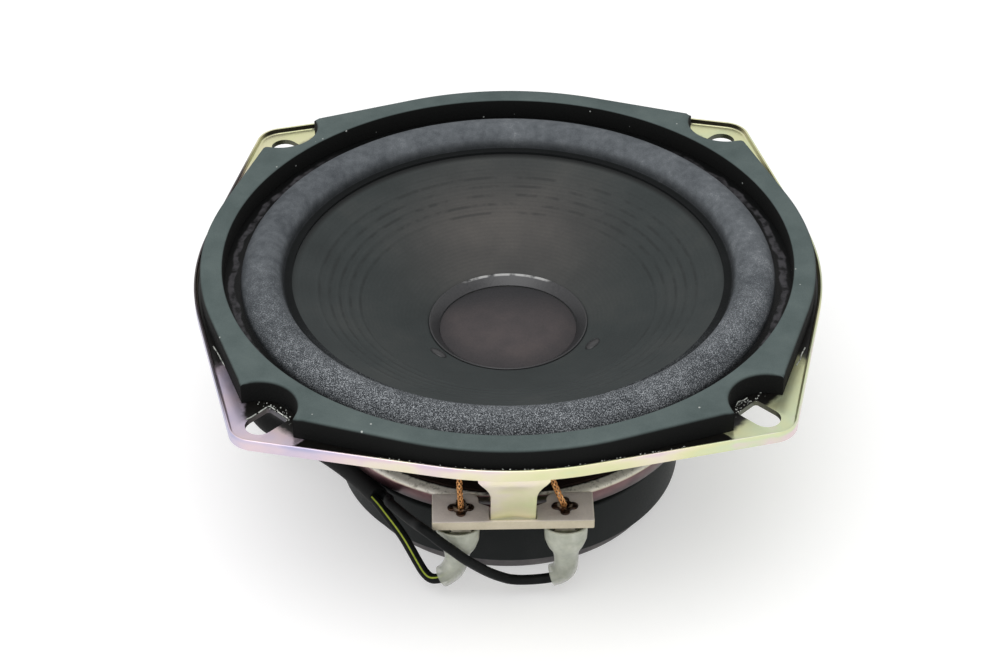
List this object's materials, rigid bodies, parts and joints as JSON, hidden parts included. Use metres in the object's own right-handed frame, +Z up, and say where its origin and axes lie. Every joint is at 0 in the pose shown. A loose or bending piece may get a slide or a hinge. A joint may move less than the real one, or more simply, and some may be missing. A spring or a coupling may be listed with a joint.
{
  "type": "loudspeaker driver",
  "caption": "13 cm moving-coil loudspeaker: stamped steel basket, foam surround, paper cone, ferrite magnet and a two-wire lead.",
  "frame": {"origin": "on the driver's axis, at the underside of the back plate", "axes": "+Z up along the driver's axis from the back plate to the gasket, -Y towards the terminal board"},
  "size_m": [0.1368, 0.1741, 0.06],
  "materials": {
    "zinc_chromate": "yellow chromate over zinc, iridescent",
    "gasket_foam": "fine closed-cell foam, matt",
    "surround_foam": "open-cell foam, speckled",
    "cone_paper": "pressed paper with fine concentric ribs",
    "cap_paper": "pressed felted paper",
    "ring_paper": "pressed paper with a thin coat of lacquer",
    "former_paper": "kraft paper",
    "copper": "enamelled copper wire",
    "spider_cloth": "impregnated cotton cloth",
    "plated_steel": "zinc plated, satin",
    "ferrite": "fired ceramic, smooth ground rim",
    "phenolic_board": "pale phenolic paper laminate",
    "bronze": "dark tarnished bronze",
    "tinned_brass": "tinned brass",
    "sleeve_plastic": "translucent milky vinyl",
    "tinsel_braid": "braided copper tinsel",
    "black_glue": "hardened adhesive",
    "wire_pvc": "vinyl insulation, one wire with a yellow-green stripe",
    "jacket_pvc": "vinyl jacket",
    "connector_nylon": "natural nylon"
  },
  "bodies": {
    "frame": {"basket": "zinc_chromate", "gasket": "gasket_foam", "surround": "surround_foam", "spider": "spider_cloth", "top_plate": "plated_steel", "magnet": "ferrite", "back_plate": "plated_steel", "pole_piece": "plated_steel", "seat_rivets": "plated_steel", "terminal_board": "phenolic_board", "eyelet_left": "bronze", "eyelet_right": "bronze", "tab_left": "tinned_brass", "tab_right": "tinned_brass", "receptacle_left": "tinned_brass", "receptacle_right": "tinned_brass", "sleeve_left": "sleeve_plastic", "sleeve_right": "sleeve_plastic", "tinsel_left": "tinsel_braid", "tinsel_right": "tinsel_braid", "wire_striped": "wire_pvc", "wire_plain": "wire_pvc", "lead": "jacket_pvc", "lead_coil": "jacket_pvc", "coil_tie": "jacket_pvc", "connector": "connector_nylon", "contacts": "tinned_brass"},
    "cone_assembly": {"cone": "cone_paper", "dust_cap": "cap_paper", "cap_ring": "ring_paper", "coil_former": "former_paper", "coil_winding": "copper", "lead_dots": "black_glue"}
  },
  "joints": [
    {"name": "cone_travel", "type": "slide", "parent": "frame", "child": "cone_assembly", "axis": [0, 0, 1], "range_m": [-0.004, 0.004], "stiffness_N_per_m": 1500, "deforming": ["surround", "spider", "tinsel_left", "tinsel_right"]}
  ]
}
